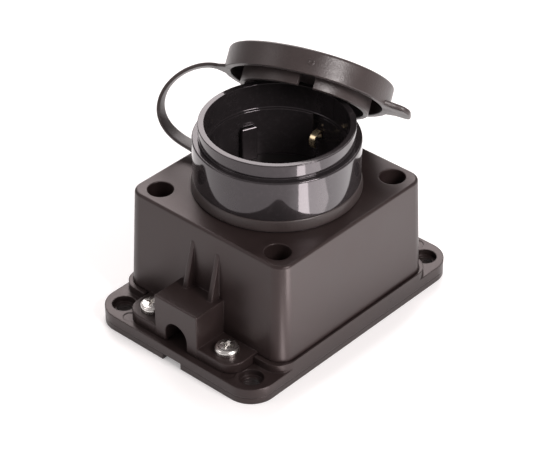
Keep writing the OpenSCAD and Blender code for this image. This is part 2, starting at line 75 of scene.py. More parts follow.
class Shader:
    """A node material: the Principled shader, the object's own coordinates, and shorthands."""

    def __init__(self, name, color, roughness, metallic=0.0):
        self.material = bpy.data.materials.new(name)
        self.material.use_nodes = True
        self.tree = self.material.node_tree
        self.bsdf = self.tree.nodes["Principled BSDF"]
        self.bsdf.inputs["Metallic"].default_value = metallic
        self.base = color
        self.rough = roughness
        self.coords = self.tree.nodes.new("ShaderNodeTexCoord").outputs["Object"]

    def set(self, socket, value):
        self.bsdf.inputs[socket].default_value = value

    def link(self, a, b):
        self.tree.links.new(a, b)

    def stretch(self, scale):
        """The object's coordinates, scaled by a different factor on each axis."""
        node = self.tree.nodes.new("ShaderNodeMapping")
        node.inputs["Scale"].default_value = scale
        self.link(self.coords, node.inputs["Vector"])
        return node.outputs["Vector"]

    def noise(self, size, detail, vector=None, rough=0.5):
        """Noise whose features are about size metres across, as a 0 to 1 factor."""
        node = self.tree.nodes.new("ShaderNodeTexNoise")
        node.inputs["Scale"].default_value = 1.0 / size
        node.inputs["Detail"].default_value = detail
        node.inputs["Roughness"].default_value = rough
        self.link(vector or self.coords, node.inputs["Vector"])
        return node.outputs["Fac"]

    def cells(self, size):
        """Distance to the middle of cells about size metres across."""
        node = self.tree.nodes.new("ShaderNodeTexVoronoi")
        node.inputs["Scale"].default_value = 1.0 / size
        self.link(self.coords, node.inputs["Vector"])
        return node.outputs["Distance"]

    def spread(self, source, low, high, start=0.3, end=0.7):
        """Maps a factor from start..end to low..high."""
        node = self.tree.nodes.new("ShaderNodeMapRange")
        node.inputs["From Min"].default_value = start
        node.inputs["From Max"].default_value = end
        node.inputs["To Min"].default_value = low
        node.inputs["To Max"].default_value = high
        self.link(source, node.inputs["Value"])
        return node.outputs["Result"]

    def math(self, operation, a, b):
        """Two factors or numbers put together by a maths node."""
        node = self.tree.nodes.new("ShaderNodeMath")
        node.operation = operation
        for socket, value in zip(node.inputs, (a, b)):
            if isinstance(value, (int, float)):
                socket.default_value = value
            else:
                self.link(value, socket)
        return node.outputs["Value"]

    def tint(self, factor, dark, light):
        """A colour between dark and light shares of the base colour."""
        node = self.tree.nodes.new("ShaderNodeMix")
        node.data_type = "RGBA"
        self.link(factor, node.inputs["Factor"])
        colors = [s for s in node.inputs if s.type == "RGBA"]
        for socket, share in zip(colors, (dark, light)):
            socket.default_value = [c * share for c in self.base] + [1.0]
        result = next(s for s in node.outputs if s.type == "RGBA")
        self.link(result, self.bsdf.inputs["Base Color"])

    def roughness(self, factor, spread):
        """Roughness that wanders by spread to either side of the material's own."""
        self.link(self.spread(factor, self.rough - spread, self.rough + spread),
                  self.bsdf.inputs["Roughness"])

    def bump(self, layers, edge=0.0):
        """layers: (height factor, depth in metres) pairs, each on top of the last, over edges
        that are shaded as if rounded to a radius of edge metres."""
        normal = None
        if edge:
            node = self.tree.nodes.new("ShaderNodeBevel")
            node.samples = BEVEL_SAMPLES
            node.inputs["Radius"].default_value = edge
            normal = node.outputs["Normal"]
        for height, depth in layers:
            node = self.tree.nodes.new("ShaderNodeBump")
            node.inputs["Strength"].default_value = 1.0
            node.inputs["Distance"].default_value = depth
            self.link(height, node.inputs["Height"])
            if normal:
                self.link(normal, node.inputs["Normal"])
            normal = node.outputs["Normal"]
        self.link(normal, self.bsdf.inputs["Normal"])


def moulded_plastic(name, color, roughness, grain=0.000012, edge=0.00035):
    """Fine-sparked black moulding: soft sheen, faint clouding and handling marks."""
    s = Shader(name, color, roughness)
    clouds = s.noise(0.012, 4.0)
    specks = s.noise(0.0005, 2.0)
    scuffs = s.noise(0.004, 6.0, s.stretch((1.0, 3.5, 0.6)), 0.7)
    worn = s.spread(scuffs, 0.0, 1.0, 0.62, 0.74)
    s.tint(s.math("ADD", s.spread(clouds, 0.0, 0.6), s.math("MULTIPLY", worn, 0.4)), 0.8, 1.3)
    s.roughness(s.math("ADD", s.math("MULTIPLY", clouds, 0.7), s.math("MULTIPLY", specks, 0.3)),
                0.07)
    s.bump([(clouds, 0.00003), (s.cells(0.00042), grain), (specks, grain)], edge)
    s.set("Specular IOR Level", 0.45)
    s.set("Specular Tint", (1.0, 0.86, 0.86, 1.0))
    return s.material


def rubber(name, color, roughness):
    """Satin elastomer: fine matte skin, a little bloom, faint flow lines."""
    s = Shader(name, color, roughness)
    bloom = s.noise(0.007, 5.0, None, 0.6)
    flow = s.noise(0.0022, 3.0, s.stretch((0.25, 0.25, 1.6)))
    skin = s.noise(0.0006, 3.0)
    s.tint(s.math("ADD", s.spread(bloom, 0.0, 0.6), s.spread(skin, 0.0, 0.4)), 0.86, 1.2)
    s.roughness(s.math("ADD", s.math("MULTIPLY", bloom, 0.6), s.math("MULTIPLY", flow, 0.4)), 0.08)
    s.bump([(flow, 0.00002), (skin, 0.00005)], 0.0002)
    s.set("Sheen Weight", 0.04)
    s.set("Sheen Roughness", 0.5)
    return s.material


def polished_black(name, color, roughness):
    """Glossy thermoset: deep black, faint ripple, hair scratches and a thin film of dust."""
    s = Shader(name, color, roughness)
    ripple = s.noise(0.009, 2.0)
    hairs = s.noise(0.0012, 3.0, s.stretch((0.12, 0.12, 3.0)), 0.6)
    dust = s.noise(0.0016, 6.0, None, 0.7)
    film = s.spread(dust, 0.0, 1.0, 0.5, 0.8)
    s.tint(film, 1.0, 1.6)
    rough = s.math("ADD", s.spread(hairs, roughness, roughness + 0.07, 0.55, 0.75),
                   s.math("MULTIPLY", film, 0.05))
    s.link(rough, s.bsdf.inputs["Roughness"])
    s.bump([(ripple, 0.00004), (hairs, 0.0000015)], 0.00015)
    s.set("Specular IOR Level", 0.42)
    s.set("Specular Tint", (1.0, 0.90, 0.97, 1.0))
    s.set("Coat Weight", 0.4)
    s.set("Coat Roughness", 0.10)
    return s.material


def metal(name, color, roughness, brushed, metallic=1.0):
    """Plated or bare metal: slight tarnish, and fine drawn lines along the axis that has the
    smallest factor in brushed."""
    s = Shader(name, color, roughness, metallic)
    tarnish = s.noise(0.003, 2.0)
    lines = s.noise(0.0004, 2.0, s.stretch(brushed))
    s.tint(s.spread(tarnish, 0.0, 1.0), 0.72, 1.06)
    s.roughness(s.math("ADD", s.math("MULTIPLY", tarnish, 0.5), s.math("MULTIPLY", lines, 0.5)),
                0.08)
    s.bump([(lines, 0.0000015), (tarnish, 0.000003)], 0.0001)
    return s.material


HOUSING = moulded_plastic("housing_plastic", (0.023, 0.0155, 0.0148), 0.36, edge=0.0005)
BASE = moulded_plastic("base_plastic", (0.022, 0.0152, 0.0145), 0.33, edge=0.0006)
INSERT = moulded_plastic("insert_plastic", (0.016, 0.015, 0.015), 0.30, grain=0.000004)
CAP = rubber("cap_rubber", (0.042, 0.0315, 0.0305), 0.35)
SEAL = rubber("seal_rubber", (0.02, 0.02, 0.02), 0.6)
GLOSS = polished_black("collar_gloss", (0.023, 0.0200, 0.0212), 0.05)
BRASS = metal("brass", (0.95, 0.79, 0.52), 0.27, (1.0, 1.0, 0.08), metallic=0.9)
STEEL = metal("plated_steel", (0.92, 0.90, 0.87), 0.27, (1.0, 0.15, 1.0))
SLOT_MATERIAL = {
    "housing_plastic": HOUSING, "base_plastic": BASE, "insert_plastic": INSERT, "cap_rubber": CAP,
    "seal_rubber": SEAL, "collar_gloss": GLOSS, "brass": BRASS, "plated_steel": STEEL,
}


# ---------------------------------------------------------------- mesh helpers

def mesh_object(name, bm, material, sharp=SHARP_ANGLE):
    """Turns a bmesh in millimetres into a smooth-shaded object in metres."""
    bmesh.ops.recalc_face_normals(bm, faces=bm.faces)
    bmesh.ops.scale(bm, vec=(MM, MM, MM), verts=bm.verts)
    mesh = bpy.data.meshes.new(name)
    bm.to_mesh(mesh)
    bm.free()
    finish_shading(mesh, sharp)
    obj = bpy.data.objects.new(name, mesh)
    obj.data.materials.append(material)
    bpy.context.scene.collection.objects.link(obj)
    return obj


def finish_shading(mesh, sharp=SHARP_ANGLE):
    """Smooth faces, with edges over sharp degrees kept crisp."""
    mesh.polygons.foreach_set("use_smooth", [True] * len(mesh.polygons))
    mesh.set_sharp_from_angle(angle=math.radians(sharp))


def apply_modifiers(obj):
    """Replaces the object's mesh by the one its modifiers make."""
    bpy.context.view_layer.update()
    graph = bpy.context.evaluated_depsgraph_get()
    mesh = bpy.data.meshes.new_from_object(obj.evaluated_get(graph), depsgraph=graph)
    obj.modifiers.clear()
    obj.data = mesh


def flatten_shading(obj):
    """Lets big flat faces keep their own direction, so that only the rounded edges shade round."""
    mod = obj.modifiers.new("normals", "WEIGHTED_NORMAL")
    mod.keep_sharp = True
    mod.weight = 80
    apply_modifiers(obj)


def combine(obj, tools, operation, sharp=SHARP_ANGLE):
    """Cuts tools out of obj, or joins them to it, and removes them."""
    for tool in tools:
        mod = obj.modifiers.new("join", "BOOLEAN")
        mod.operation = operation
        mod.solver = "EXACT"
        mod.object = tool
    apply_modifiers(obj)
    finish_shading(obj.data, sharp)
    for tool in tools:
        bpy.data.objects.remove(tool)


def round_edges(obj, radius):
    """Rounds a simple solid's edges by radius millimetres."""
    mod = obj.modifiers.new("edge_radius", "BEVEL")
    mod.width = radius * MM
    mod.segments = 3
    mod.limit_method = "ANGLE"
    mod.angle_limit = math.radians(30.0)
    apply_modifiers(obj)
    finish_shading(obj.data)
    return obj


def place(obj, matrix):
    """Moves the mesh itself by a matrix whose shift is in millimetres."""
    shifted = matrix.copy()
    shifted.translation = matrix.translation * MM
    obj.data.transform(shifted)
    return obj


def fillet(corners, steps=6):
    """Rounds a closed outline. corners: (x, y) or (x, y, radius)."""
    points = []
    count = len(corners)
    for i, corner in enumerate(corners):
        here = Vector(corner[:2])
        radius = corner[2] if len(corner) > 2 else 0.0
        if radius <= 0:
            points.append(here)
            continue
        before = (Vector(corners[i - 1][:2]) - here).normalized()
        after = (Vector(corners[(i + 1) % count][:2]) - here).normalized()
        half = before.angle(after) / 2
        reach = radius / math.tan(half)
        centre = here + (before + after).normalized() * (radius / math.sin(half))
        start = here + before * reach - centre
        turn = start.angle_signed(here + after * reach - centre)
        for k in range(steps + 1):
            points.append(centre + Matrix.Rotation(-turn * k / steps, 2) @ start)
    return points


def rounded_rect(w, l, r, steps):
    """Counterclockwise outline of a rectangle with round corners, centred on the axis."""
    return fillet([(w / 2, -l / 2, r), (w / 2, l / 2, r), (-w / 2, l / 2, r),
                   (-w / 2, -l / 2, r)], steps)


def inset(outline, d):
    """Moves a counterclockwise outline inwards by d, or outwards if d is negative."""
    count = len(outline)
    moved = []
    for i, here in enumerate(outline):
        a = (here - outline[i - 1]).normalized()
        b = (outline[(i + 1) % count] - here).normalized()
        inward = Vector((-a.y, a.x)) + Vector((-b.y, b.x))
        inward.normalize()
        # The lower bound keeps a very sharp corner from shooting off
        moved.append(here + inward * (d / max(0.4, inward.dot(Vector((-a.y, a.x))))))
    return moved


def raise_to(outline, z):
    """The flat outline at height z."""
    return [Vector((p.x, p.y, z)) for p in outline]


def loft(name, rings, material, sharp=SHARP_ANGLE):
    """A closed solid through rings of equally many points."""
    bm = bmesh.new()
    rows = [[bm.verts.new(p) for p in ring] for ring in rings]
    count = len(rows[0])
    for low, high in zip(rows, rows[1:]):
        for k in range(count):
            j = (k + 1) % count
            bm.faces.new((low[k], low[j], high[j], high[k]))
    bm.faces.new(rows[0][::-1])
    bm.faces.new(rows[-1])
    return mesh_object(name, bm, material, sharp)


def plate(name, outline, low, high, edge, material, foot=0.0, steps=4):
    """A flat outline stood up between two heights. Its upper edge is rounded to the radius edge
    and its lower one to the radius foot."""
    rings = []
    for k in range(steps if foot else 0):
        a = math.pi / 2 * k / steps
        rings.append(raise_to(inset(outline, foot * (1 - math.sin(a))),
                              low + foot * (1 - math.cos(a))))
    rings.append(raise_to(outline, low + foot))
    rings.append(raise_to(outline, high - edge))
    for k in range(1, steps + 1):
        a = math.pi / 2 * k / steps
        rings.append(raise_to(inset(outline, edge * (1 - math.cos(a))),
                              high - edge * (1 - math.sin(a))))
    return loft(name, rings, material)


def lathe(name, profile, material, segments, sharp=SHARP_ANGLE):
    """Turns a closed (r, z) outline about Z into a solid. Points on the axis become one vertex."""
    bm = bmesh.new()
    rings = []
    for r, z in profile:
        if r < 1e-5:
            rings.append([bm.verts.new((0.0, 0.0, z))] * segments)
            continue
        rings.append([bm.verts.new((r * math.cos(a), r * math.sin(a), z))
                      for a in (2 * math.pi * k / segments for k in range(segments))])
    for i, ring in enumerate(rings):
        after = rings[(i + 1) % len(rings)]
        for k in range(segments):
            corners = [ring[k], ring[(k + 1) % segments], after[(k + 1) % segments], after[k]]
            unique = list(dict.fromkeys(corners))
            if len(unique) > 2:
                bm.faces.new(unique)
    return mesh_object(name, bm, material, sharp)


def block(name, low, high, material, edge=0.0):
    """A box between two opposite corners, with edges rounded to the radius edge."""
    corners = [Vector((low[0], low[1])), Vector((high[0], low[1])), Vector(high[:2]),
               Vector((low[0], high[1]))]
    obj = loft(name, [raise_to(corners, low[2]), raise_to(corners, high[2])], material)
    return round_edges(obj, edge) if edge else obj


def turned(degrees):
    """A turn about Z."""
    return Matrix.Rotation(math.radians(degrees), 4, "Z")


def finish(obj, slot, body, *nodes):
    """Hides the CAD nodes it stands for and rides the piece on its body. slot is not used."""
    flatten_shading(obj)
    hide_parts(*nodes)
    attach(obj, body)


# Every CAD node gets its slot's material; the ones that no detailed piece stands for show it
for node_name, node_object in frame["nodes"].items():
    node_slot = next(s["material_slot"] for s in frame["record"]["subparts"]
                     if s["node"] == node_name)
    node_object.data.materials.clear()
    node_object.data.materials.append(SLOT_MATERIAL[node_slot])


# ---------------------------------------------------------------- housing

FOOT_Z, TOP_Z = 5.8, 44.2
TOP_W, TOP_L, DRAFT, CORNER_R = 65.4, 68.3, 1.4, 5.5
WALL, CEILING_Z = 2.5, 40.4
WELLS = [(x, y) for x in (-25.0, 25.0) for y in (-27.4, 27.4)]
WELL_R, WELL_FLOOR, COLUMN_R, COLUMN_FOOT = 4.2, 16.0, 6.0, 12.7
SCREW_HOLE_R = 2.2
EAR_LEFT, EAR_RIGHT, EAR_Y, EAR_R, EAR_TOP = -22.9, 23.8, -41.6, 5.7, 9.2
EAR_SCREWS = [(-16.3, -41.3), (16.3, -41.3)]
ENTRY_HALF, ENTRY_FRONT, ENTRY_TOP = 9.2, -47.5, 21.6
ARCH_HALF, ARCH_CROWN, ARCH_FOOT = 4.55, 13.9, 4.8
GUSSETS = (-4.4, 6.2)
COLLAR_HOLE_R = 27.0


def drafted_block(name, low, top, thinner, edge):
    """The housing's tapered outer shape, made thinner all round by a wall's thickness, with
    rounded upright corners and a rounded top edge."""
    slope = DRAFT / (TOP_Z - FOOT_Z)
    steps = 6

    def ring(z, extra):
        cut = thinner + slope * (z - FOOT_Z) + extra
        # Corners get tighter inside the wall, and a little tighter towards the top
        r = max(0.8, CORNER_R - thinner * 0.8 - (cut - thinner) * 0.4)
        return raise_to(rounded_rect(TOP_W + 2 * DRAFT - 2 * cut, TOP_L + 2 * DRAFT - 2 * cut,
                                     r, 10), z)

    rings = [ring(low, 0.0)]
    for k in range(steps + 1):
        a = math.pi / 2 * k / steps
        rings.append(ring(top - edge * (1 - math.sin(a)), edge * (1 - math.cos(a))))
    return loft(name, rings, HOUSING, 40.0)


def gusset(x):
    """Upright rib between the entry block's top and the housing's face, slimmer at its top."""
    rings = [[Vector((x - half, front, z)), Vector((x + half, front, z)),
              Vector((x + half, back, z)), Vector((x - half, back, z))]
             for half, front, back, z in ((1.0, -38.7, -33.0, 21.1), (0.75, -34.45, -33.15, 37.8))]
    return round_edges(loft("gusset", rings, HOUSING), 0.35)


def arch_tool():
    """The cable arch, with a slightly rounded mouth at the entry block's front."""
    steps = 24
    outline = [Vector((ARCH_HALF, ARCH_FOOT))]
    for k in range(steps + 1):
        a = math.pi * k / steps
        outline.append(Vector((ARCH_HALF * math.cos(a),
                               ARCH_CROWN - ARCH_HALF + ARCH_HALF * math.sin(a))))
    outline.append(Vector((-ARCH_HALF, ARCH_FOOT)))
    rings = []
    for y, wider in ((-30.0, 0.0), (-47.15, 0.0), (-47.32, 0.05), (-47.45, 0.17),
                     (ENTRY_FRONT, 0.35), (-49.0, 0.35)):
        rings.append([Vector((p.x, y, p.y)) for p in inset(outline, -wider)])
    return loft("arch_tool", rings, HOUSING)


def make_housing():
    shell = drafted_block("housing_shell", FOOT_Z, TOP_Z, 0.0, 0.9)
    ear_front, ear_back = EAR_Y - EAR_R, -33.0
    ear_corner = EAR_R - 0.01
    ears = plate("ears", fillet([(EAR_LEFT, ear_back), (EAR_LEFT, ear_front, ear_corner),
                                 (EAR_RIGHT, ear_front, ear_corner), (EAR_RIGHT, ear_back)], 12),
                 FOOT_Z, EAR_TOP, 0.35, HOUSING)
    entry = block("entry", (-ENTRY_HALF, ENTRY_FRONT, FOOT_Z), (ENTRY_HALF, -33.3, ENTRY_TOP),
                  HOUSING, 0.4)
    combine(shell, [ears, entry] + [gusset(x) for x in GUSSETS], "UNION")

    cavity = drafted_block("cavity", FOOT_Z - 0.1, CEILING_Z, WALL, 0.1)
    columns = []
    for x, y in WELLS:
        column = lathe("column", [(0, COLUMN_FOOT), (COLUMN_R, COLUMN_FOOT), (COLUMN_R, 45),
                                  (0, 45)], HOUSING, 48)
        columns.append(place(column, Matrix.Translation((x, y, 0))))
    combine(cavity, columns, "DIFFERENCE")

    tools = [cavity, arch_tool()]
    above = 46.0
    for x, y in WELLS:
        well = lathe("well", [(0, 5), (SCREW_HOLE_R, 5), (SCREW_HOLE_R, WELL_FLOOR),
                              (WELL_R, WELL_FLOOR), (WELL_R, 43.9), (4.24, 44.05), (4.36, 44.16),
                              (4.55, TOP_Z), (4.55, above), (0, above)], HOUSING, 64)
        tools.append(place(well, Matrix.Translation((x, y, 0))))
    tools.append(lathe("collar_hole", [(0, 39), (COLLAR_HOLE_R, 39), (COLLAR_HOLE_R, 44.0),
                                       (27.06, 44.14), (27.2, TOP_Z), (27.2, above), (0, above)],
                       HOUSING, 160))
    for x, y in EAR_SCREWS:
        hole = lathe("ear_hole", [(0, 4), (SCREW_HOLE_R, 4), (SCREW_HOLE_R, 11), (0, 11)],
                     HOUSING, 32)
        tools.append(place(hole, Matrix.Translation((x, y, 0))))
    combine(shell, tools, "DIFFERENCE", 32.0)
    finish(shell, "housing_plastic", "box", "housing")


# ---------------------------------------------------------------- screws

def pan_head_screw(name, head_r, head_h, shank_r, length, at, spin):
    """Cross-recessed pan head: upright band, soft shoulder, shallow dome, tapered recess."""
    band_top = head_h * 0.42
    shoulder_in, shoulder_up = head_r * 0.32, head_h * 0.40
    shoulder_steps, dome_steps = 12, 8
    profile = [(0.0, -length), (shank_r * 0.6, -length), (shank_r, -length + shank_r * 0.6),
               (shank_r, 0.0), (head_r - 0.1, 0.0), (head_r, 0.12), (head_r, band_top)]
    for k in range(1, shoulder_steps + 1):
        a = math.pi / 2 * k / shoulder_steps
        profile.append((head_r - shoulder_in * (1 - math.cos(a)),
                        band_top + shoulder_up * math.sin(a)))
    edge_r, edge_z = profile[-1]
    for k in range(1, dome_steps + 1):
        r = edge_r * (1 - k / dome_steps)
        profile.append((r, edge_z + (head_h - edge_z) * (1 - (r / edge_r) ** 2)))
    screw = lathe(name, profile, STEEL, 72)

    # The recess: two crossed wedges and a cone in the middle. Each wedge is given by half its
    # length, half its width and its height, at its foot and at its open end.
    wedge = ((head_r * 0.26, head_r * 0.10, head_h * 0.36),
             (head_r * 0.60, head_r * 0.135, head_h * 1.08))
    tools = []
    for turn in (0, 90):
        rings = [[Vector((sx * l, sy * w, z)) for sx, sy in ((-1, -1), (1, -1), (1, 1), (-1, 1))]
                 for l, w, z in wedge]
        tools.append(place(loft("cross", rings, STEEL), turned(turn)))
    tools.append(lathe("cone", [(0, head_h * 0.3), (head_r * 0.2, head_h * 0.42),
                                (head_r * 0.26, head_h * 1.1), (0, head_h * 1.1)], STEEL, 32))
    combine(screw, tools, "DIFFERENCE")
    return place(screw, Matrix.Translation(at) @ turned(spin))


def join_as(name, parts):
    """One object from several meshes, which stay separate closed shells."""
    bm = bmesh.new()
    for part in parts:
        bm.from_mesh(part.data)
    mesh = bpy.data.meshes.new(name)
    bm.to_mesh(mesh)
    bm.free()
    mesh.materials.append(parts[0].data.materials[0])
    obj = bpy.data.objects.new(name, mesh)
    bpy.context.scene.collection.objects.link(obj)
    for part in parts:
        bpy.data.objects.remove(part)
    finish_shading(mesh)
    return obj


def make_screws():
    shank_r, head_h = 1.98, 2.6
    ears = [pan_head_screw("screw", 3.9, head_h, shank_r, 6.6, (x, y, EAR_TOP), 20)
            for x, y in EAR_SCREWS]
    finish(join_as("entry_screws_detail", ears), "plated_steel", "box", "entry_screws")
    first_turn, turn_between = 15, 31    # no two heads in the wells stand alike
    deep = [pan_head_screw("screw", 3.6, head_h, shank_r, 10.5, (x, y, WELL_FLOOR),
                           first_turn + turn_between * i)
            for i, (x, y) in enumerate(WELLS)]
    finish(join_as("housing_screws_detail", deep), "plated_steel", "box", "housing_screws")


# ---------------------------------------------------------------- collar

RIM_Z, RIM_R = 67.3, 22.9
RECESS_R, LEDGE_Z = 22.0, 58.2
FLANGE_HALF_X, FLANGE_HALF_Y, FLANGE_Z, FLANGE_TOP = 30, 16.5, 37.0, 39.6
RIB_TURNS = (158, 338)
CLIP_TURNS = (95, 275)


def make_collar():
    profile = fillet([(RECESS_R, FLANGE_Z), (26.9, FLANGE_Z), (26.9, 44.2, 0.1), (26.2, 44.2, 0.1),
                      (26.2, 48.3, 0.1), (26.9, 48.3, 0.25), (26.9, 62.2, 0.55), (24.6, 62.2, 0.2),
                      (24.6, 63, 0.15), (25, 63, 0.2), (25, RIM_Z, 0.32), (RIM_R, RIM_Z, 0.32),
                      (RIM_R, LEDGE_Z, 0.5), (RECESS_R, LEDGE_Z, 0.38)], 6)
    collar = lathe("collar_moulding", profile, GLOSS, 216, 40.0)

    # The flange: a bar across the collar, joined to a disc, with the collar's bore cut through
    flange = plate("flange", fillet([(FLANGE_HALF_X, -FLANGE_HALF_Y, 1),
                                     (FLANGE_HALF_X, FLANGE_HALF_Y, 1),
                                     (-FLANGE_HALF_X, FLANGE_HALF_Y, 1),
                                     (-FLANGE_HALF_X, -FLANGE_HALF_Y, 1)]),
                   FLANGE_Z, FLANGE_TOP, 0.2, GLOSS)
    disc = lathe("disc", [(0, FLANGE_Z), (29.8, FLANGE_Z), (29.8, FLANGE_TOP), (0, FLANGE_TOP)],
                 GLOSS, 120)
    combine(flange, [disc], "UNION")
    bore = lathe("bore", [(0, 36), (24.5, 36), (24.5, 41), (0, 41)], GLOSS, 96)
    combine(flange, [bore], "DIFFERENCE")

    rib_in, rib_out, rib_half = 19.8, 22.6, 2.8
    ribs = []
    for turn in RIB_TURNS:
        outline = fillet([(rib_in, -rib_half, 0.45), (rib_out, -rib_half), (rib_out, rib_half),
                          (rib_in, rib_half, 0.45)], 4)
        ribs.append(place(plate("rib", outline, 41.05, 53.5, 1.3, GLOSS, 0.0, 8), turned(turn)))
    combine(collar, [flange] + ribs, "UNION")

    # The clip's channel: a slot hidden in the wall, and above it a window open to the recess.
    # Each is given by its inner radius and its two heights, and is drawn along +Y.
    half, outer = 2.1, 23.6
    tools = []
    for turn in CLIP_TURNS:
        for inner, low, high in ((22.45, 36, 51), (20.9, 50.2, LEDGE_Z)):
            tools.append(place(block("channel", (-half, inner, low), (half, outer, high), GLOSS),
                               turned(turn - 90)))
    combine(collar, tools, "DIFFERENCE", 40.0)
    finish(collar, "collar_gloss", "box", "socket_collar")


def bend(centre, radii, start, end, steps, skip=1):
    """Points on part of an ellipse in the (r, z) plane, from start to end degrees; the first
    skip points are left out. Zero degrees is straight out and 90 is up."""
    angles = (math.radians(start) + math.radians(end - start) * k / steps
              for k in range(skip, steps + 1))
    return [Vector((centre[0] + radii[0] * math.cos(a), centre[1] + radii[1] * math.sin(a)))
            for a in angles]


def make_earth_clip():
    """One bent strip, drawn as two halves: foot, leg in the collar's channel, sprung bow."""
    foot_z, leg_r, leg_top = 23.45, 23.0, 51.3
    path = [Vector((0.0, foot_z)), Vector((leg_r - 1.2, foot_z))]
    path += bend((leg_r - 1.2, foot_z + 1.2), (1.2, 1.2), -90, 0, 6)
    path += [Vector((leg_r, 40.0)), Vector((leg_r, leg_top))]
    path += bend((leg_r - 1.1, leg_top), (1.1, 1.1), 0, 90, 8)
    path += bend((21.7, 49.6), (3.0, 2.8), 96, 216, 24, 0)

    half_wide, half_thick, corner = 1.1, 0.4, 0.16
    outline = fillet([(half_wide, -half_thick, corner), (half_wide, half_thick, corner),
                      (-half_wide, half_thick, corner), (-half_wide, -half_thick, corner)], 3)
    halves = []
    for turn in CLIP_TURNS:
        rings = []
        for i, here in enumerate(path):
            along = (path[min(i + 1, len(path) - 1)] - path[max(i - 1, 0)]).normalized()
            side = Vector((-along.y, along.x))
            rings.append([Vector((here.x + side.x * q.y, q.x, here.y + side.y * q.y))
                          for q in outline])
        halves.append(place(loft("half", rings, BRASS, 50.0), turned(turn)))
    finish(join_as("earth_clip_strip", halves), "brass", "box", "earth_bracket")


# ---------------------------------------------------------------- cap and tether

CAP_PLACE = (Matrix.Translation((-8.8, 23.7, 64.0)) @ turned(111.3)
             @ Matrix.Rotation(math.radians(45.3), 4, "Y"))
TAB_TURN, ROOT_TURN, SLOT_TURN, GATE_TURN = -80.0, 105.2, -165.0, -164.7
SKIRT_R, CAP_H, SEAT_Z = 27.4, 7.95, 5.5
TAB_LENGTH, TAB_SAG = 7.3, 0.75
LUG_TURN = 190.3
ROOT_START = 0.80    # where on the strap's curve the run into the cap's root begins


def arc_points(radius, start, end, steps):
    """(x, y) points on an arc about the axis, between two angles in degrees."""
    return [(radius * math.cos(math.radians(start + (end - start) * k / steps)),
             radius * math.sin(math.radians(start + (end - start) * k / steps)))
            for k in range(steps + 1)]


def rim_tongue(name, wide, neck, neck_at, tip_half, reach, tip_r, low, high, edge):
    """A flat tongue on the rim: it leaves the skirt in two hollow curves and ends rounded.
    wide is half the angle it takes up on the skirt; neck and tip_half are half widths."""
    inner_r, foot_r, hollow_r = 26.2, 27.25, 2.6
    side = (foot_r * math.cos(math.radians(wide)), foot_r * math.sin(math.radians(wide)))
    outline = arc_points(inner_r, wide, -wide, 8)
    outline += [(side[0], -side[1]), (neck_at, -neck, hollow_r), (reach, -tip_half, tip_r),
                (reach, tip_half, tip_r), (neck_at, neck, hollow_r), side]
    return plate(name, fillet(outline, 8), low, high, edge, CAP, edge)


def make_cap():
    """The cap in its own frame, rim down on z 0, and then put where the photo shows it."""
    profile = fillet([(0, SEAT_Z), (19.7, SEAT_Z, 0.5), (19.7, -2.95, 0.35), (21.3, -2.95, 0.35),
                      (21.3, SEAT_Z, 0.3), (25.2, SEAT_Z, 0.3), (25.2, 0, 0.3), (SKIRT_R, 0, 0.35),
                      (SKIRT_R, CAP_H, 0.95), (0, CAP_H)], 6)
    cap = lathe("shell", profile, CAP, 200, 40.0)

    tab = rim_tongue("tab", wide=17.5, neck=6.5, neck_at=29.6, tip_half=5.7, reach=34.7,
                     tip_r=4.0, low=0.02, high=1.7, edge=0.6)
    for vert in tab.data.vertices:
        along = max(0.0, (vert.co.x / MM - SKIRT_R) / TAB_LENGTH)
        vert.co.z -= TAB_SAG * MM * along ** 2
    root = rim_tongue("root", wide=11.5, neck=3.1, neck_at=28.9, tip_half=2.6, reach=29.7,
                      tip_r=0.0, low=0.02, high=1.15, edge=0.4)
    place(tab, turned(TAB_TURN))
    place(root, turned(ROOT_TURN))

    gate = lathe("gate", fillet([(0.45, -0.4), (1.05, -0.4), (1.05, 0.12, 0.08),
                                 (0.45, 0.12, 0.08)], 3), CAP, 32)
    place(gate, turned(GATE_TURN) @ Matrix.Translation((SKIRT_R, 0, 3.87))
          @ Matrix.Rotation(math.pi / 2, 4, "Y"))

    mouth = [Vector(p) for p in ((18.7, -1.9), (21.95, -2.75), (21.95, 2.6), (18.7, 2.4))]
    slot = loft("slot", [raise_to(mouth, -3.95), raise_to(mouth, 5.0)], CAP)
    place(slot, turned(SLOT_TURN))
    combine(cap, [slot], "DIFFERENCE", 40.0)
    cap = join_as("cap_moulding", [cap, tab, root, gate])
    place(cap, CAP_PLACE)
    finish(cap, "cap_rubber", "cap", "cap")


def make_tether_ring():
    profile = fillet([(26.25, 44.5, 0.2), (27.45, 44.5, 0.2), (27.45, 45.2, 0.5),
                      (26.95, 48.2, 0.5), (26.25, 48.2, 0.1)], 5)
    ring = lathe("ring", profile, CAP, 216, 40.0)
    outline = fillet([(26.4, -4.4), (26.9, -4.4), (27.6, -3.1, 0.6), (28.5, -2.9, 0.3),
                      (28.5, 2.9, 0.3), (27.6, 3.1, 0.6), (26.9, 4.4), (26.4, 4.4)], 5)
    lug = place(plate("lug", outline, 45.3, 48.1, 0.45, CAP, 0.45), turned(LUG_TURN))
    ring = join_as("tether_ring_moulding", [ring, lug])
    finish(ring, "cap_rubber", "tether", "tether_ring")


def strap_curve():
    """The control points of the strap's centre line, from the ring's lug to the cap's root, and
    its width direction at each end."""
    spin = turned(LUG_TURN)
    a = spin @ Vector((28.55, 0.0, 46.8))
    b = a + spin @ Vector((27.3, 0.0, 1.2))
    reach = 32.05
    angle = math.radians(ROOT_TURN)
    d = CAP_PLACE @ Vector((reach * math.cos(angle), reach * math.sin(angle), 0.55))
    c = d + Vector((-13.5, -8.1, -2.75))
    across_a = spin.to_3x3() @ Vector((0.0, 1.0, 0.0))
    across_d = CAP_PLACE.to_3x3() @ Vector((-math.sin(angle), math.cos(angle), 0.0))
    return (a, b, c, d), across_a, across_d


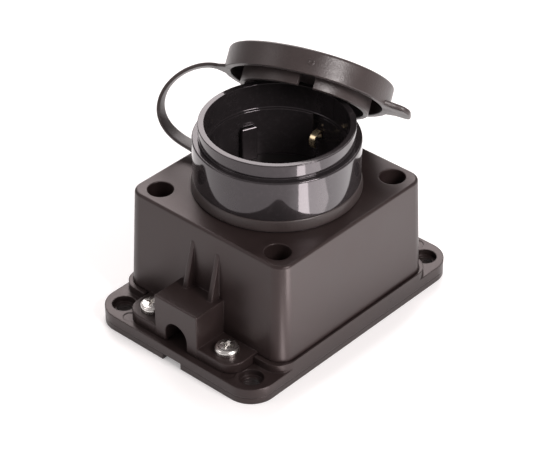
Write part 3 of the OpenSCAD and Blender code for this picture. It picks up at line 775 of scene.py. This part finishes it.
def root_end():
    """Where the strap runs into the cap's root, and the direction it has there."""
    angle = math.radians(ROOT_TURN)
    outward = Vector((math.cos(angle), math.sin(angle), 0.0))
    end_r, end_z = 29.6, 0.58
    return (CAP_PLACE @ (outward * end_r + Vector((0.0, 0.0, end_z))),
            -(CAP_PLACE.to_3x3() @ outward))


def strap_section(t):
    """Centre, direction, width direction and thickness direction of the strap at t. It follows
    the first curve up to ROOT_START and then a second one that meets the root straight on."""
    (a, b, c, d), across_a, across_d = strap_curve()
    held = min(t, ROOT_START)
    u = 1 - held
    point = a * u ** 3 + b * (3 * u * u * held) + c * (3 * u * held * held) + d * held ** 3
    along = ((b - a) * u * u + (c - b) * (2 * u * held) + (d - c) * held * held).normalized()
    if t > ROOT_START:
        s = (t - ROOT_START) / (1 - ROOT_START)
        end, into = root_end()
        reach = (end - point).length
        near, far = point + along * reach / 3, end - into * reach / 3
        v = 1 - s
        along = ((near - point) * v * v + (far - near) * (2 * v * s)
                 + (end - far) * s * s).normalized()
        point = point * v ** 3 + near * (3 * v * v * s) + far * (3 * v * s * s) + end * s ** 3
    across = across_a * (1 - t) + across_d * t
    across = (across - along * across.dot(along)).normalized()
    return point, along, across, along.cross(across)


def strap_piece(name, start, end, steps):
    """Part of the band between two places on the curve; outside 0 to 1 it runs on straight. It
    is wider and thicker near the lug and a little wider near the cap's root."""
    straight_run, near_range, corner = 60.0, 0.07, 0.42
    rings = []
    for i in range(steps + 1):
        t = start + (end - start) * i / steps
        held = min(1.0, max(0.0, t))
        point, along, across, flat = strap_section(held)
        point = point + along * ((t - held) * straight_run)
        near_lug = max(0.0, 1 - max(t, 0.0) / near_range)
        near_root = max(0.0, 1 - max(1 - t, 0.0) / near_range)
        wide = 5.0 + 0.9 * near_lug ** 2 + 0.2 * near_root ** 2
        thick = 1.1 + 0.9 * near_lug ** 2
        outline = fillet([(wide / 2, -thick / 2, corner), (wide / 2, thick / 2, corner),
                          (-wide / 2, thick / 2, corner), (-wide / 2, -thick / 2, corner)], 4)
        rings.append([point + across * p.x + flat * p.y for p in outline])
    return loft(name, rings, CAP, 40.0)


def make_strap():
    """Two pieces of one band: the lower one runs from the ring's lug to the middle of the strap,
    the upper one from there to the cap."""
    parting = 0.72
    lower = strap_piece("strap_lower", -0.012, parting, 96)
    upper = strap_piece("strap_upper", parting, 1.02, 48)
    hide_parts("tether_strap")
    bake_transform(lower)
    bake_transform(upper)


make_housing()
make_screws()
make_collar()
make_earth_clip()
make_cap()
make_tether_ring()
make_strap()


# ---------------------------------------------------------------- camera and light

def aim(azimuth, elevation, roll):
    """Camera axes (right, up, back) for a view; azimuth 0 looks along +Y."""
    az, el = math.radians(azimuth), math.radians(elevation)
    back = Vector((math.sin(az) * math.cos(el), -math.cos(az) * math.cos(el), math.sin(el)))
    right = Vector((math.cos(az), math.sin(az), 0.0))
    spin = Matrix.Rotation(math.radians(roll), 3, back)
    right = spin @ right
    return right, back.cross(right), back


def stand_at(centre, axes):
    """The matrix of a camera or light at centre with these axes (right, up, back)."""
    return Matrix.Translation(centre) @ Matrix(axes).transposed().to_4x4()


def add_camera():
    """The photo's camera, as it was fitted to the edges and holes measured in the photo."""
    distance = 0.7288
    target = Vector((0.0, 0.0, 0.035))
    shift_right, shift_up = 0.00059, 0.00593
    right, up, back = aim(41.96, 35.55, 0.13)
    centre = target + back * distance - right * shift_right - up * shift_up
    data = bpy.data.cameras.new("camera")
    data.sensor_width = 36.0
    data.lens = 148.65
    data.clip_start = 0.01
    data.clip_end = 20.0
    camera = bpy.data.objects.new("camera", data)
    camera.matrix_world = stand_at(centre, (right, up, back))
    bpy.context.scene.collection.objects.link(camera)
    bpy.context.scene.camera = camera


WARM = (1.0, 0.94, 0.935)


def area_light(name, width, height, power, matrix):
    """A warm rectangular light; sizes in metres, power in watts."""
    data = bpy.data.lights.new(name, "AREA")
    data.shape = "RECTANGLE"
    data.size = width
    data.size_y = height
    data.energy = power
    data.color = WARM
    light = bpy.data.objects.new(name, data)
    light.matrix_world = matrix
    bpy.context.scene.collection.objects.link(light)


def softbox(name, azimuth, elevation, distance, width, height, power):
    """An area light that faces the object; azimuth 0 stands in front of the -Y face."""
    right, up, back = aim(azimuth, elevation, 0.0)
    centre = Vector((0.0, 0.0, 0.03)) + back * distance
    area_light(name, width, height, power, stand_at(centre, (right, up, back)))


def floor_panel(name, centre, size, turn, power):
    """A small light panel lying face up just above the table, in millimetres."""
    lift = 0.2
    place_up = Matrix.Translation(Vector((*centre, lift)) * MM) @ turned(turn)
    area_light(name, size[0] * MM, size[1] * MM, power,
               place_up @ Matrix.Rotation(math.pi, 4, "X"))


def add_world(strength):
    world = bpy.data.worlds.new("studio")
    world.use_nodes = True
    background = world.node_tree.nodes["Background"]
    background.inputs["Color"].default_value = (*WARM, 1.0)
    background.inputs["Strength"].default_value = strength
    bpy.context.scene.world = world


# The painted pool of light on the table beside the box, where the table glows more, in metres:
# where it starts to show, is full, starts to fade and is gone, along X and along Y
PAINTED_LIGHT_POOL = {"X": (0.040, 0.062, 0.105, 0.160), "Y": (-0.065, -0.040, 0.085, 0.130)}


def add_floor(glow, painted_pool_glow):
    """Plain pale table under the base. All of it glows evenly by glow, and a painted pool of light
    beside the box glows more, by the second argument.
    """
    s = Shader("floor_paper_painted_light_pool", (0.92, 0.92, 0.92), 0.9)
    s.tint(s.noise(0.2, 2.0), 0.995, 1.0)
    split = s.tree.nodes.new("ShaderNodeSeparateXYZ")
    s.link(s.coords, split.inputs["Vector"])
    # Mask of the painted pool of light: full inside it, fading to nothing at its edges
    shape = painted_pool_glow
    for axis, (shows, full, fades, gone) in PAINTED_LIGHT_POOL.items():
        along = split.outputs[axis]
        shape = s.math("MULTIPLY", shape, s.spread(along, 0.0, 1.0, shows, full))
        shape = s.math("MULTIPLY", shape, s.spread(along, 1.0, 0.0, fades, gone))
    s.link(s.math("ADD", shape, glow), s.bsdf.inputs["Emission Strength"])
    s.set("Emission Color", (1.0, 1.0, 1.0, 1.0))
    bm = bmesh.new()
    half, gap = 4000.0, 0.02
    bm.faces.new([bm.verts.new((x * half, y * half, CAD_BOX[0][2] / MM - gap))
                  for x, y in ((-1, -1), (1, -1), (1, 1), (-1, 1))])
    floor = mesh_object("floor", bm, s.material)


add_camera()
add_world(0.41)
# The table glows evenly, and by 0.88 more in the painted pool of light beside the box
add_floor(0.23, 0.88)

# azimuth and elevation in degrees, then distance, width and height in metres, and watts
softbox("key_right", 86, 36, 0.46, 0.16, 0.16, 1.55)
softbox("back_left", 226, 38, 1.0, 0.8, 0.7, 6.8)
softbox("front_left", -36, 39, 0.5, 0.2, 0.2, 0.2)

# These make the upright highlights on the collar: centre, size, turn in degrees, and watts
floor_panel("panel_near", (103.2, -30.5), (50.0, 22.4), -19, 0.0300)
floor_panel("panel_wide", (113.7, 0.0), (54.0, 42.0), -19, 0.0160)
floor_panel("panel_corner", (56.0, -50.0), (34.0, 9.0), -42, 0.0055)

bpy.context.scene.view_settings.view_transform = "Standard"
bpy.context.scene.view_settings.look = "None"
